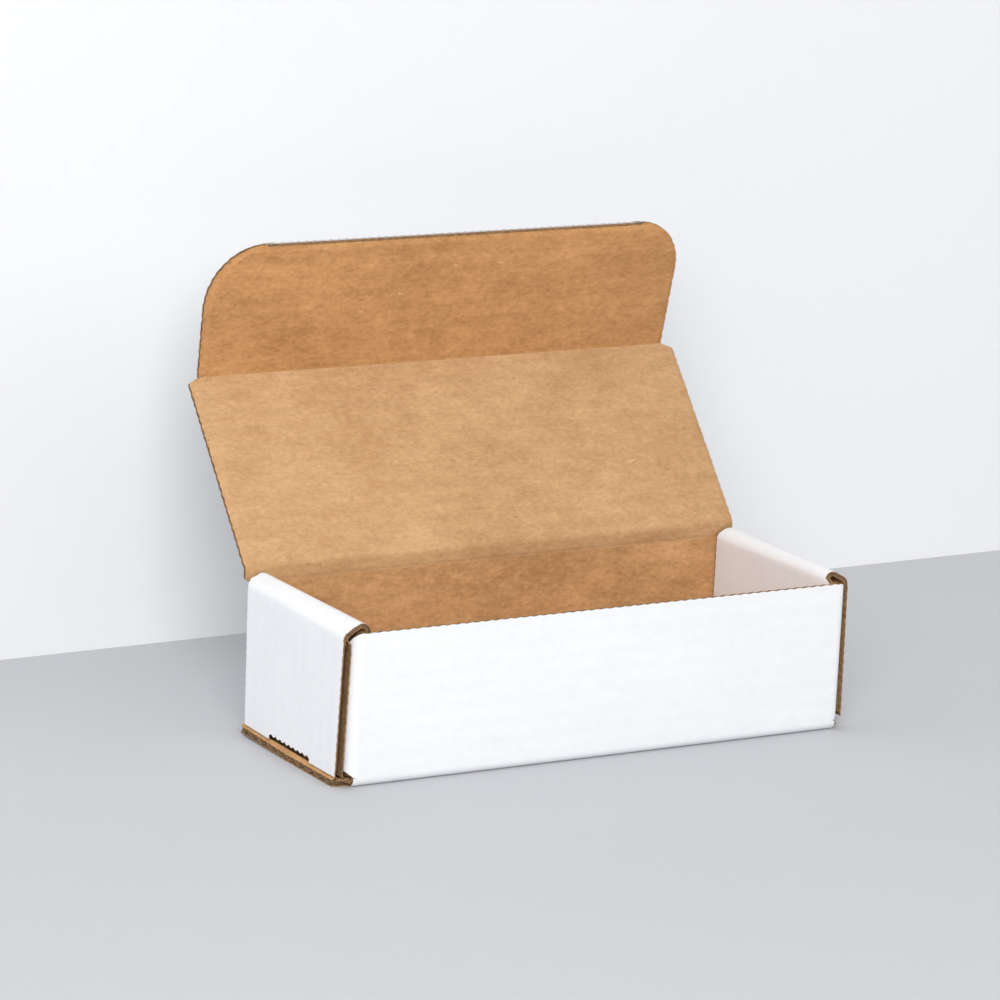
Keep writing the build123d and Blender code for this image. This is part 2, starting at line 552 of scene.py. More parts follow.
kraftLook = {
    "light": (0.660, 0.412, 0.216, 1),
    "dark": (0.465, 0.262, 0.118, 1),
    "fibre": (0.330, 0.172, 0.072, 1),
    "fleck": (0.780, 0.560, 0.340, 1),
    "roughness": 0.86,
    "ridgeShade": (0.965, 1.03),      # how much the flutes lighten and darken the paper
    "relief": {"Cloud": 0.5, "Fibre": 0.5},
    "ridgeRelief": 1.6,
    "bump": {"Strength": 0.45, "Distance": 0.00006},
}
whiteLook = {
    "light": (0.880, 0.890, 0.905, 1),
    "dark": (0.835, 0.842, 0.862, 1),
    "speck": (0.620, 0.580, 0.540, 1),
    "roughness": 0.62,
    "ridgeShade": (0.985, 1.01),
    "relief": {"Cloud": 0.35},
    "ridgeRelief": 2.0,
    "bump": {"Strength": 0.4, "Distance": 0.00005},
}
rawLook = {
    "light": (0.520, 0.330, 0.170, 1),
    "dark": (0.240, 0.130, 0.060, 1),
    "roughness": 0.92,
}


def tinted(colour, tint):
    return tuple(c * t for c, t in zip(colour[:3], tint)) + (1,)


def facePaper(name, look, coordinates, dark, light, marks):
    # A liner's paper. Marks are (output of the grain, strength, colour).
    finish, tree, shader = startFinish(name, look["roughness"])
    vector = boardCoordinates(tree, *coordinates)
    grain = addNode(tree, "ShaderNodeGroup", {"Vector": vector}, node_tree=paperGrain)
    flutes = addNode(tree, "ShaderNodeGroup", {"Vector": vector}, node_tree=washboard)
    colour = mixColour(tree, grain.outputs["Cloud"], dark, light)
    for output, strength, mark in marks:
        share = mathNode(tree, "MULTIPLY", grain.outputs[output], strength)
        colour = mixColour(tree, share, colour, mark)
    shade = rangeNode(tree, flutes.outputs["Ridge"], 0.0, 1.0, *look["ridgeShade"])
    grey = addNode(tree, "ShaderNodeCombineColor", {"Red": shade, "Green": shade, "Blue": shade})
    colour = mixColour(tree, 1.0, colour, grey.outputs[0], "MULTIPLY")
    tree.links.new(colour, shader.inputs["Base Color"])
    relief = mathNode(tree, "MULTIPLY", flutes.outputs["Ridge"], look["ridgeRelief"])
    for output, height in look["relief"].items():
        relief = mathNode(tree, "ADD", relief, mathNode(tree, "MULTIPLY", grain.outputs[output], height))
    bump = addNode(tree, "ShaderNodeBump", {"Height": relief, **look["bump"]})
    tree.links.new(bump.outputs["Normal"], shader.inputs["Normal"])
    return finish


def kraftPaper(name, heading, tint=(1.0, 1.0, 1.0), contrast=0.0):
    # Tint and contrast give lit and shaded copies of the same kraft paper: painted light and shade, not a
    # different paper.
    fibre = tinted(kraftLook["fibre"], tint)
    dark = tinted(kraftLook["dark"], [t * (1 - contrast) for t in tint])
    light = tinted(kraftLook["light"], [t * (1 + contrast) for t in tint])
    marks = [("Fibre", 0.22, fibre), ("Speck", 0.42, fibre), ("Fleck", 0.4, kraftLook["fleck"])]
    return facePaper(name, kraftLook, (heading,), dark, light, marks)


def whitePaper(name, heading, flutesUp=False):
    return facePaper(name, whiteLook, (heading, flutesUp), whiteLook["dark"], whiteLook["light"],
                     [("Speck", 0.10, whiteLook["speck"])])


def rawPaper(name, darken=1.0):
    # Torn and die-cut paper: the rims of the liners and the fluted middle.
    finish, tree, shader = startFinish(name, rawLook["roughness"])
    place = addNode(tree, "ShaderNodeTexCoord").outputs["Object"]
    grain = addNode(tree, "ShaderNodeGroup", {"Vector": place}, node_tree=paperGrain)
    torn = noiseNode(tree, place, 1400, 3, 0.7)
    light = tinted(rawLook["light"], (darken,) * 3)
    dark = tinted(rawLook["dark"], (darken,) * 3)
    colour = mixColour(tree, rangeNode(tree, torn, 0.35, 0.62), dark, light)
    colour = mixColour(tree, mathNode(tree, "MULTIPLY", grain.outputs["Fibre"], 0.5), colour, dark)
    tree.links.new(colour, shader.inputs["Base Color"])
    bump = addNode(tree, "ShaderNodeBump", {"Height": torn, "Strength": 0.8, "Distance": 0.00012})
    tree.links.new(bump.outputs["Normal"], shader.inputs["Normal"])
    return finish


flapHeading = 100.0
whiteWall = whitePaper("white liner of the walls", 90)
whiteEnd = whitePaper("white liner of the ends", 0, flutesUp=True)
whiteLid = whitePaper("white liner of the lid", lidHeading)
whiteFlap = whitePaper("white liner of the flap", flapHeading)
# The tray's kraft copy is tinted darker and warmer as painted shade for its inner walls, which lie in the
# shade of the front wall.
kraftTrayPaintedShade = kraftPaper("kraft liner of the tray with painted shade", 90, (0.96, 0.87, 0.76), 0.09)
kraftLid = kraftPaper("kraft liner of the lid", lidHeading, (1.0, 0.97, 0.94))
# The flap's kraft copy is tinted darker and more orange as painted shade, since the flap faces down and gets
# less light than the lid.
kraftFlapPaintedShade = kraftPaper("kraft liner of the flap with painted shade", flapHeading, (0.92, 0.77, 0.60), 0.07)
rawRim = rawPaper("raw rim", 0.78)
rawFlute = rawPaper("fluted middle", 0.66)
rawCore = rawPaper("crushed middle", 0.55)
print("finishes made")

# Tray: base, walls, side folds and dust tabs.
tray = {
    "toe": 1.6 * mm,
    "lipCorner": {-1: 1.2 * mm, 1: 3.6 * mm},
    "lipLift": 1.0 * mm,      # the lips curl up towards the back
    "tabSpacing": 9.4 * mm,
    "tabTop": 46.0 * mm,
    "tabBottom": 3.6 * mm,
    "tabSlant": 4.0 * mm,
    "cornerRadius": 3.4 * mm,
    "reliefWidth": 1.7 * mm,
    "reliefHeight": 1.5 * mm,
    "toePinch": 1.9 * mm,     # the folds' raw ends are pinched shut
    "rimPress": 1.7 * mm,     # the front wall's top edge is pressed onto its outer liner
    "rimRun": 2.4 * mm,
    "ledge": 1.3 * mm,        # the inner liner rolls down over the lip's edge
    "ledgeDrop": 0.8 * mm,
    "hingeFold": 1.7 * mm,
    "notchMiddle": 2.0 * mm,
    "lockWidth": 25.0 * mm,
}
lidTurn = math.radians(90 - lidHeading)
hingeTangent = tray["hingeFold"] * math.tan(lidTurn / 2)
backTop = lidHinge.z - hingeTangent
lidTail = 3.9 * mm                                 # the lid's liners start this far down the back wall


def sideFoldTop(x):
    over = abs(x) - (tabX + half - tray["cornerRadius"])
    if over <= 0:
        return wallTop
    drop = tray["cornerRadius"] - math.sqrt(max(0.0, tray["cornerRadius"] ** 2 - over ** 2))
    return wallTop - drop


def sideFoldFoot(x):
    start = tabX + half - tray["reliefWidth"]
    slope = tray["reliefHeight"] / tray["reliefWidth"]
    return max(foldTop, tray["tabBottom"] + slope * (abs(x) - start))


def liftLip(co):
    # The base lips curl up a little towards the back.
    outwards = portion(abs(co.x) - flatHalf - tray["toe"], 2 * mm)
    backwards = portion(co.y, baseY)
    return (0, 0, tray["lipLift"] * outwards * backwards if co.z < board["thickness"] + 1 * mm else 0)


def trayLiner(name, offset, finishes):
    reach = wallY - offset
    floor = half + offset
    segments = 7 if offset < 0 else 4
    steps = [
        ("run", tray["rimRun"] / 3),
        ("run", tray["rimRun"] * 2 / 3),
        ("run", wallTop - foldTop - tray["rimRun"]),
        ("fold", 90, foldRadius, segments),
        ("run", 2 * baseY),
        ("fold", 90, foldRadius, segments),
        ("run", wallTop - foldTop),
        ("run", backTop - lidTail - wallTop),
    ]
    piece, rows = rollSheet(name, (-flatHalf, flatHalf), (-wallY, wallTop), -90, steps, offset)
    tabEnd = tray["tabSpacing"] / 2
    for side in (-1, 1):
        for front in (-1, 1):
            pick(piece, lambda co: abs(co.x - side * flatHalf) < near and abs(co.y - front * reach) < near
                 and foldTop - near < co.z < wallTop + near)
            centre = (side * flatHalf, front * baseY, 0)
            spinBy(math.radians(-90 * side * front), centre, (0, 0, 1), segments)
            extrudeBy((0, -front * tray["tabSlant"], 0))
            extrudeBy((0, -front * (baseY - tray["tabSlant"] - tabEnd), 0))
            editDone()
        pick(piece, lambda co: abs(co.x - side * flatHalf) < near and co.z < foldTop + near)
        extrudeBy((side * tray["toe"], 0, 0))
        editDone()
        pick(piece, lambda co: abs(co.x - side * (flatHalf + tray["toe"])) < near
             and abs(co.z - floor) < near)
        lip = lipX - flatHalf - tray["toe"]
        corner = tray["lipCorner"][side]
        narrow = 1 - corner * (1 - tray["ledge"] / lip) / baseY
        extrudeBy((side * (lip - tray["ledge"]), 0, 0))
        bpy.ops.transform.resize(value=(1, narrow, 1), center_override=(0, 0, 0))
        extrudeBy((side * tray["ledge"], 0, 0))
        bpy.ops.transform.resize(value=(1, (1 - corner / baseY) / narrow, 1),
                                 center_override=(0, 0, 0))
        editDone()
    tabFace = tabX - offset
    for v in piece.data.vertices:
        onFold = abs(v.co.x) > flatHalf + near and abs(v.co.y) > baseY - near and v.co.z > foldTop - near
        beyondFold = abs(abs(v.co.x) - tabFace) < near and abs(v.co.y) < baseY - near
        if onFold and v.co.z > wallTop - tray["rimRun"] - near:
            v.co.z += sideFoldTop(v.co.x) - wallTop
        elif onFold and v.co.z < foldTop + near and abs(abs(v.co.x) - flatHalf - tray["toe"]) > near:
            v.co.z = sideFoldFoot(v.co.x)
        elif beyondFold and v.co.z > wallTop - tray["rimRun"] - near:
            v.co.z += tray["tabTop"] - wallTop
        elif beyondFold and foldTop - near < v.co.z < foldTop + near:
            v.co.z = tray["tabBottom"]
    toothEdge(piece, lambda co: abs(co.y + reach) < near and co.z > wallTop - near
              and abs(co.x) < flatHalf + near, Vector((1, 0, 0)), (0, 0, -board["toothDepth"]))
    for side in (-1, 1):
        toothEdge(piece, lambda co: abs(co.x - side * lipX) < near, Vector((0, 1, 0)),
                  (-side * board["toothDepth"], 0, 0))
    if offset > 0:
        for v in piece.data.vertices:
            if abs(v.co.x) > lipX - board["toothDepth"] - near:
                v.co.z -= tray["ledgeDrop"]
            atToe = abs(abs(v.co.x) - flatHalf - tray["toe"]) < near and v.co.z < foldTop + near
            if atToe and abs(v.co.y) > baseY - near:
                hub = Vector((v.co.x, math.copysign(baseY, v.co.y), foldTop))
                v.co += (v.co - hub).normalized() * tray["toePinch"]
            rimShare = 1 - (wallTop - v.co.z) / tray["rimRun"]
            if rimShare > 0 and v.co.y < -baseY and abs(v.co.x) < flatHalf + near:
                v.co.y -= tray["rimPress"] * min(1.0, rimShare) ** 0.7
    slide(piece, liftLip)
    inwards = Vector((0, 1, 0)) if offset > 0 else Vector((0, -1, 0))
    faceTowards(piece, Vector((0, -reach, wallTop / 2)), inwards)
    thicken(piece, board["liner"], finishes)
    for v in piece.data.vertices:
        v.co.x = max(-lipX, min(lipX, v.co.x))
    return piece


trayOuter = trayLiner("tray_outer_liner", -half, [whiteWall, rawFlute, rawRim])
trayInner = trayLiner("tray_inner_liner", half, [kraftTrayPaintedShade, rawFlute, rawRim])
print("tray liners made")


def lipReach(along, side):
    # Half width of the base at a distance from its front edge.
    fromEdge = min(along, 2 * baseY - along)
    share = portion(fromEdge, tray["lipCorner"][side])
    return flatHalf + tray["toe"] + (lipX - flatHalf - tray["toe"]) * share


baseFlutes, baseRows = fluteSheet("base_flutes", (-lipX, lipX), (-baseY, half), 0, 2 * baseY, 0.15, 5)
shapeSides(baseFlutes, baseRows, lambda s: -lipReach(s, -1) + 0.1 * mm, lambda s: lipReach(s, 1) - 0.1 * mm,
           (0.0, 1.1 * mm, 2.4 * mm))
pressEdges(baseFlutes, baseRows, 0, lambda x, s: lipReach(s, 1 if x > 0 else -1) - abs(x),
           Vector((0, -baseY, half)), 0.55)
slide(baseFlutes, liftLip)
finishFlutes(baseFlutes, rawFlute)


crushed = {
    "crown": 0.62 * mm,      # thickness over the crown of an end
    "tab": 1.1 * mm,         # in a side fold and its dust tab
    "crease": 1.7 * mm,      # in the two creases that move
    "creaseBefore": 1.4 * mm,
    "creaseAfter": 1.6 * mm,
    "tabBefore": 1.0 * mm,
    "tabShort": 0.35 * mm,   # below the top of the wall and tab
    "tabFall": 1.6 * mm,     # how far the top falls round the side fold
}


def filler(low, high, cuts=6):
    # Crushed middle that fills the board along a raw edge.
    piece = addBlock(low, high)
    pick(piece, lambda co: True)
    bpy.ops.mesh.subdivide(number_cuts=cuts)
    editDone()
    slide(piece, liftLip)
    piece.data.materials.append(rawCore)
    return piece


fillers = []
for side in (-1, 1):
    ends = sorted((side * (lipX - 5 * mm), side * (lipX - 0.7 * mm)))
    inset = tray["lipCorner"][side] + 0.5 * mm
    fillers.append(filler(Vector((ends[0], -baseY + inset, 0.45 * mm)),
                          Vector((ends[1], baseY - inset, 2.0 * mm))))
    ends = sorted((side * (flatHalf - 2 * mm), side * (flatHalf + tray["toe"] - 0.35 * mm)))
    for front in (-1, 1):
        depth = sorted((front * (baseY - 3 * mm), front * (baseY + 0.7 * mm)))
        fillers.append(filler(Vector((ends[0], depth[0], 0.5 * mm)), Vector((ends[1], depth[1], 2.4 * mm))))
baseFlutes = joinAll([baseFlutes, *fillers], "base_flutes")
wallFluteRun = wallTop - foldTop - 0.3 * mm
wallFlutes, wallRows = fluteSheet(
    "front_wall_flutes", (-flatHalf, flatHalf), (-wallY, foldTop), 90, wallFluteRun, 0.3)
pressEdges(wallFlutes, wallRows, 0, lambda x, s: wallFluteRun - s, Vector((0, -wallY, foldTop)),
           kept=0.25, level=0.9 * mm)
finishFlutes(wallFlutes, rawFlute)


def tabCore():
    # The crushed middle of a side fold, carried on into its dust tab.
    steps = [("run", crushed["tabBefore"]), ("fold", -90, foldRadius, 5),
             ("run", tray["tabSlant"]), ("run", baseY - tray["tabSlant"] - tray["tabSpacing"] / 2)]
    foldEnd = crushed["tabBefore"] + foldRadius * math.pi / 2
    wallEdge = wallTop - crushed["tabShort"]

    def top(along):
        if along < foldEnd + near:
            return wallEdge - crushed["tabFall"] * along / foldEnd
        share = min(1.0, (along - foldEnd) / tray["tabSlant"])
        return wallEdge - crushed["tabFall"] - share * (wallTop - crushed["tabFall"] - tray["tabTop"])

    piece, rows = rollSheet("dust_tab_core", (tray["tabBottom"], wallTop),
                            (-flatHalf + crushed["tabBefore"], -wallY), 180, steps)
    shapeSides(piece, rows, lambda s: tray["tabBottom"] + 0.1 * mm, top)
    # Local X is up, and the local YZ plane lies flat.
    moveFrame(piece, Matrix(((0, 1, 0, 0), (0, 0, 1, 0), (1, 0, 0, 0), (0, 0, 0, 1))))
    faceTowards(piece, Vector((-tabX, 0, wallTop / 2)), Vector((-1, 0, 0)))
    thicken(piece, crushed["tab"], [rawCore, rawCore, rawCore], centred=True)
    return piece


frontLeftCore = tabCore()
backLeftCore = mirrored(frontLeftCore, "back_left_core", "Y")
rightCores = [mirrored(frontLeftCore, "front_right_core"), mirrored(backLeftCore, "back_right_core")]
tabCores = joinAll([frontLeftCore, backLeftCore, *rightCores], "dust_tab_cores")
print("tray flutes and cores made")

# Rolled ends: outer panel, slanted strip, inner panel and lock tab.
end = {
    "creaseDrop": 1.0 * mm,
    "rise": 3.8 * mm,
    "stand": 0.5 * mm,
    "creaseLift": 1.5 * mm,    # the outer crease climbs towards the back,
    "climbFrom": 20 * mm,      # from this far in front of the middle
    "inwardLean": 2.0 * mm,    # the right end's inner panel leans in at the back,
    "leanHeight": 20 * mm,     # in full from this height up,
    "leanDepth": 4 * mm,       # and not at all this far outside its face
    "frontFoot": -31.9 * mm,
    "frontTop": -34.3 * mm,
    "backFoot": 28.9 * mm,
    "backTop": 30.1 * mm,
    "rightFoot": -31.3 * mm,
    "rightTop": -30.6 * mm,
    "notchShift": -3.4 * mm,
    "innerFront": -31.7 * mm,
    "innerBack": 31.4 * mm,
    "crownPress": 1.45 * mm,   # how thin the board is pressed over the crown
    "notchWidth": 27.0 * mm,
    "notchHeight": 1.3 * mm,
    "lockFoot": 0.5 * mm,
}
creaseZ = wallTop - end["creaseDrop"]
apexZ = creaseZ + end["rise"]
stripAngle = math.atan2(end["rise"], outerX - innerX)
turnOne = math.pi / 2 - stripAngle
turnTwo = math.pi / 2 + stripAngle
tangentOne = foldRadius * math.tan(turnOne / 2)
tangentTwo = foldRadius * math.tan(turnTwo / 2)
stripRun = math.hypot(end["rise"], outerX - innerX) - tangentOne - tangentTwo
endFoot = board["thickness"] + end["stand"]
innerFoot = board["thickness"] + board["gap"]
outerRun = creaseZ - tangentOne - endFoot
innerRun = apexZ - tangentTwo - innerFoot
firstFold = foldRadius * turnOne
secondFold = foldRadius * turnTwo
crownStart = outerRun
crownEnd = outerRun + firstFold + stripRun + secondFold


def endFront(along):
    if along > crownEnd + 1.2 * mm:
        return end["innerFront"]
    share = min(1.0, along / outerRun)
    return end["frontFoot"] + (end["frontTop"] - end["frontFoot"]) * share


def endBack(along):
    share = min(1.0, along / outerRun)
    straight = end["backFoot"] + (end["backTop"] - end["backFoot"]) * share
    overCrown = portion(along - crownStart, crownEnd - crownStart)
    return straight + (end["innerBack"] - end["backTop"]) * overCrown


def toothed(edge, sign, scatter):
    # The same raw edge with saw teeth, for rows half a tooth apart.
    def cut(along):
        tooth = round(along / toothStep) % 2
        return edge(along) + sign * (tooth * board["toothDepth"] + scatter.uniform(0, 0.08) * mm)
    return cut


def endSteps(foot):
    return [("run", end["notchHeight"]), ("run", outerRun - end["notchHeight"] + foot),
            ("fold", math.degrees(turnOne), foldRadius, 6), ("run", stripRun),
            ("fold", math.degrees(turnTwo), foldRadius, 9), ("run", innerRun)]


def pressCrown(piece, rows, foot):
    # Folding crushes the board over the crown: the inner liner moves towards the outer.
    for v in piece.data.vertices:
        place, along, left = nearestRow(rows, v.co)
        beyond = max(crownStart + foot - along, along - crownEnd - foot, 0.0)
        share = max(0.0, 1 - beyond / (2 * mm))
        v.co -= left * end["crownPress"] * eased(share)


def endLiner(name, offset, finishes, foot=0.0):
    # Foot carries a liner that much further down, to the base.
    scatter = random.Random(3)
    piece, rows = rollSheet(name, (end["frontFoot"], end["backFoot"]), (endFoot - foot, -outerX), 0,
                            endSteps(foot), offset, toothStep)
    shapeSides(piece, rows, toothed(endFront, 1, scatter), toothed(endBack, -1, scatter))
    if offset > 0:
        pressCrown(piece, rows, foot)
    outerFace = -outerX + offset
    innerFace = -innerX - offset
    notchTop = endFoot - foot + end["notchHeight"]
    notchLow = tray["notchMiddle"] + end["notchShift"] - end["notchWidth"] / 2
    notchHigh = notchLow + end["notchWidth"]

    def onOuter(co):
        return abs(co.z - outerFace) < near

    splitAcross(piece, lambda co: onOuter(co) and co.y < notchTop + near, (notchLow, notchHigh))
    removeFaces(piece, lambda co: onOuter(co) and co.y < notchTop and notchLow < co.x < notchHigh)
    toothEdge(piece, lambda co: onOuter(co) and abs(co.y - notchTop) < near
              and notchLow - near < co.x < notchHigh + near, Vector((1, 0, 0)), (0, 0.75 * mm, 0))
    lockLow = tray["notchMiddle"] - tray["lockWidth"] / 2
    lockHigh = lockLow + tray["lockWidth"]

    def onInner(co):
        return abs(co.z - innerFace) < near

    lastRow = innerFoot + 1.2 * toothStep
    splitAcross(piece, lambda co: onInner(co) and co.y < lastRow, (lockLow, lockHigh))
    pick(piece, lambda co: onInner(co) and abs(co.y - innerFoot) < near
         and lockLow - near < co.x < lockHigh + near)
    extrudeBy((0, end["lockFoot"] - innerFoot, 0))
    editDone()
    placeOnEnd(piece)
    way = Vector((-1, 0, 0)) if offset < 0 else Vector((1, 0, 0))
    faceTowards(piece, Vector((outerFace, 0, creaseZ / 2)), way)
    thicken(piece, board["liner"], finishes)
    return piece


def endFlutes(name, x, foot, top, narrow):
    # Upright flutes of one panel. The sheet's X is up and its run is along Y.
    front, back = (end["frontFoot"], end["backFoot"]) if narrow else (end["innerFront"], end["innerBack"])
    piece, rows = fluteSheet(name, (foot, top), (front + 0.4 * mm, 0), 0, back - front - 0.8 * mm, 0.72)
    moveFrame(piece, Matrix(((0, 0, 1, -x), (0, 1, 0, 0), (-1, 0, 0, 0), (0, 0, 0, 1)))
              @ Matrix.Diagonal((-1, 1, 1, 1)))
    if narrow:
        for v in piece.data.vertices:
            share = (v.co.z - endFoot) / outerRun
            across = (v.co.y - front) / (back - front)
            v.co.y += share * ((end["frontTop"] - front) * (1 - across) + (end["backTop"] - back) * across)
    finishFlutes(piece, rawFlute)
    return piece


def crownCore():
    # The crushed middle over the top of an end.
    below, after, inset = 2.0 * mm, 3.0 * mm, 0.5 * mm
    steps = [("run", below), ("fold", math.degrees(turnOne), foldRadius, 5), ("run", stripRun),
             ("fold", math.degrees(turnTwo), foldRadius, 7), ("run", after)]
    piece, rows = rollSheet("crown_core", (end["frontTop"], end["backTop"]),
                            (creaseZ - tangentOne - below, -outerX), 0, steps, -end["crownPress"] / 2)
    shapeSides(piece, rows, lambda s: end["frontTop"] + inset, lambda s: end["backTop"] - inset)
    placeOnEnd(piece)
    faceTowards(piece, Vector((-outerX, 0, creaseZ)), Vector((-1, 0, 0)))
    thicken(piece, crushed["crown"], [rawCore, rawCore, rawCore], centred=True)
    return piece


leftOuter = endLiner("left_end_outer_liner", -half, [whiteEnd, rawFlute, rawRim])
leftInner = endLiner("left_end_inner_liner", half, [kraftTrayPaintedShade, rawFlute, rawRim], foot=end["stand"])
leftFlutes = joinAll([
    endFlutes("left_end_flutes", outerX, endFoot + end["notchHeight"], creaseZ - 1.2 * mm, True),
    endFlutes("left_inner_flutes", innerX, innerFoot, wallTop - 1.0 * mm, False),
    crownCore(),
], "left_end_flutes")


def climb(co):
    # Towards the back the outer crease stands higher, and the foot follows the lip.
    backwards = portion(co.y + end["climbFrom"], end["backTop"] + end["climbFrom"])
    outwards = portion(abs(co.x) - innerX, outerX - innerX)
    upwards = portion(co.z - creaseZ / 2, creaseZ / 2)
    downwards = 1 - min(1.0, co.z / (creaseZ / 2))
    lift = end["creaseLift"] * upwards ** 2 + tray["lipLift"] * downwards
    return (0, 0, lift * backwards * backwards * outwards)


for piece in (leftOuter, leftInner, leftFlutes):
    slide(piece, climb)
rightOuter = mirrored(leftOuter, "right_end_outer_liner")
rightInner = mirrored(leftInner, "right_end_inner_liner")
rightFlutes = mirrored(leftFlutes, "right_end_flutes")


def rightLean(co):
    # The right end stands differently: its front edge lies further back, and its inner panel
    # leans in.
    share = portion(co.z - endFoot, outerRun)
    wanted = end["rightFoot"] + (end["rightTop"] - end["rightFoot"]) * share
    now = end["frontFoot"] + (end["frontTop"] - end["frontFoot"]) * share
    forward = portion(-co.y, -end["frontTop"])
    backward = portion(co.y, end["backTop"])
    onTop = portion(co.z - wallTop, 1 * mm)
    outside = co.x - innerX - half
    outwards = max(onTop, portion(outside, outerX - innerX - 2 * half))
    lean = end["inwardLean"] * backward * backward * (1 - portion(outside, end["leanDepth"]))
    rise = portion(co.z - innerFoot, end["leanHeight"])
    return (-lean * rise, (wanted - now) * forward * outwards, 0)


for piece in (rightOuter, rightInner, rightFlutes):
    slide(piece, rightLean)
slotHalf = Vector((half, tray["lockWidth"] / 2, 0)) + Vector((board["gap"], board["gap"], 0))
for piece in (trayOuter, trayInner, baseFlutes):
    for side in (-1, 1):
        middle = Vector((side * innerX, tray["notchMiddle"], 0))
        cutBox(piece, middle - slotHalf - Vector((0, 0, half)),
               middle + slotHalf + Vector((0, 0, board["thickness"] + near)))
print("rolled ends made")

# Lid.
lidShape = {
    "hingeShift": -1.8 * mm,  # the lid was folded a little askew
    "frontShift": -0.5 * mm,
    "chamfer": 3.0 * mm,      # across, at the front corners
    "chamferRun": 1.4 * mm,
    "cornerRound": 1.6 * mm,
    "flapFold": 1.7 * mm,
    "fluteShort": 3.4 * mm,   # how much shorter the flutes are than the lid
    "fluteShift": 1.0 * mm,   # from the end of the hinge's arc to the flutes
}
flapTurn = math.radians(flapHeading - lidHeading)
flapTangent = lidShape["flapFold"] * math.tan(flapTurn / 2)
lidRun = lidLength - hingeTangent - flapTangent
hingeArc = tray["hingeFold"] * lidTurn
starter = 0.2 * mm


def lidSkew(co):
    share = max(0.0, (Vector(co) - lidHinge).dot(lidWay) / lidLength)
    return (lidShape["hingeShift"] + (lidShape["frontShift"] - lidShape["hingeShift"]) * share, 0, 0)


def lidReach(along):
    # Half width of the lid at a distance along its liner, from its lowest edge.
    fromFront = lidTail + hingeArc + lidRun - along
    corner = lidShape["cornerRound"]
    if along < corner:
        return panelHalf - corner + math.sqrt(max(0.0, corner ** 2 - (corner - along) ** 2))
    return panelHalf - lidShape["chamfer"] * max(0.0, 1 - fromFront / lidShape["chamferRun"])


def lidSteps():
    corner = lidShape["cornerRound"]
    chamfer = lidShape["chamferRun"]
    return [("run", corner / 2), ("run", corner / 2), ("run", lidTail - corner),
            ("fold", -math.degrees(lidTurn), tray["hingeFold"], 6),
            ("run", lidRun - chamfer), ("run", chamfer)]


def lidLiner(name, offset, finishes):
    scatter = random.Random(11)
    piece, rows = rollSheet(name, (-panelHalf, panelHalf), (wallY, backTop - lidTail), 90, lidSteps(),
                            offset, toothStep, 2 * len(edgeColumns) - 1)
    reach = toothed(lidReach, -1, scatter)
    reaches = {row[1]: reach(row[1]) for row in rows}
    shapeSides(piece, rows, lambda s: -reaches[s], lambda s: reaches[s], edgeColumns)
    pressEdges(piece, rows, offset, lambda x, s: reaches[s] - abs(x))
    slide(piece, lidSkew)
    inside = Vector((0, -lidWay.z, lidWay.y))
    faceTowards(piece, lidHinge + lidWay * lidLength / 2, inside if offset > 0 else -inside)
    thicken(piece, board["liner"], finishes)
    return piece


lidOuter = lidLiner("lid_outer_liner", -half, [whiteLid, rawFlute, rawRim])
lidInner = lidLiner("lid_inner_liner", half, [kraftLid, rawFlute, rawRim])
fluteStart = lidHinge + lidWay * board["fluteStart"]
fluteRun = lidLength - lidShape["fluteShort"]
lidFlutes, lidRows = fluteSheet("lid_flutes", (-panelHalf, panelHalf), (fluteStart.y, fluteStart.z),
                                lidHeading, fluteRun, 0.1, 2 * len(edgeColumns) - 1)


def lidFluteReach(along):
    return lidReach(along + lidTail + hingeArc + lidShape["fluteShift"]) - board["fluteInset"]


shapeSides(lidFlutes, lidRows, lambda s: -lidFluteReach(s), lidFluteReach, edgeColumns)
pressEdges(lidFlutes, lidRows, 0, lambda x, s: lidFluteReach(s) - abs(x), fluteStart)
slide(lidFlutes, lidSkew)
finishFlutes(lidFlutes, rawFlute)
print("lid made")

# Front flap.
flapShape = {
    "inset": 4.0 * mm,
    "length": 44.9 * mm,
    "flare": 1.8 * mm,
    "leftRadius": 22.0 * mm,
    "rightRadius": 17.0 * mm,
    "fluteShort": 1.9 * mm,
}
flapHalf = panelHalf - flapShape["inset"]
flapArc = lidShape["flapFold"] * flapTurn
flapRun = flapShape["length"] - flapTangent
flapRoot = flapHinge - lidWay * flapTangent


def flapReach(along, radius):
    # Half width of the flap at a distance from its crease, with its rounded corner.
    edge = flapHalf + flapShape["flare"] * max(0.0, along) / flapShape["length"]
    up = along - (flapShape["length"] - radius)
    if up <= 0:
        return edge
    return edge - radius + math.sqrt(max(0.0, radius ** 2 - up ** 2))


def flapSkew(co):
    return (lidShape["frontShift"], 0, 0)


def flapSteps():
    # Rows are spaced evenly round the larger corner.
    radius = flapShape["leftRadius"]
    steps = [("fold", math.degrees(flapTurn), lidShape["flapFold"], 6), ("run", flapRun - radius)]
    count = round(radius * math.pi / 2 / toothStep)
    climbs = [radius * math.sin(math.pi / 2 * k / count) for k in range(count + 1)]
    return steps + [("run", high - low) for low, high in zip(climbs, climbs[1:])]


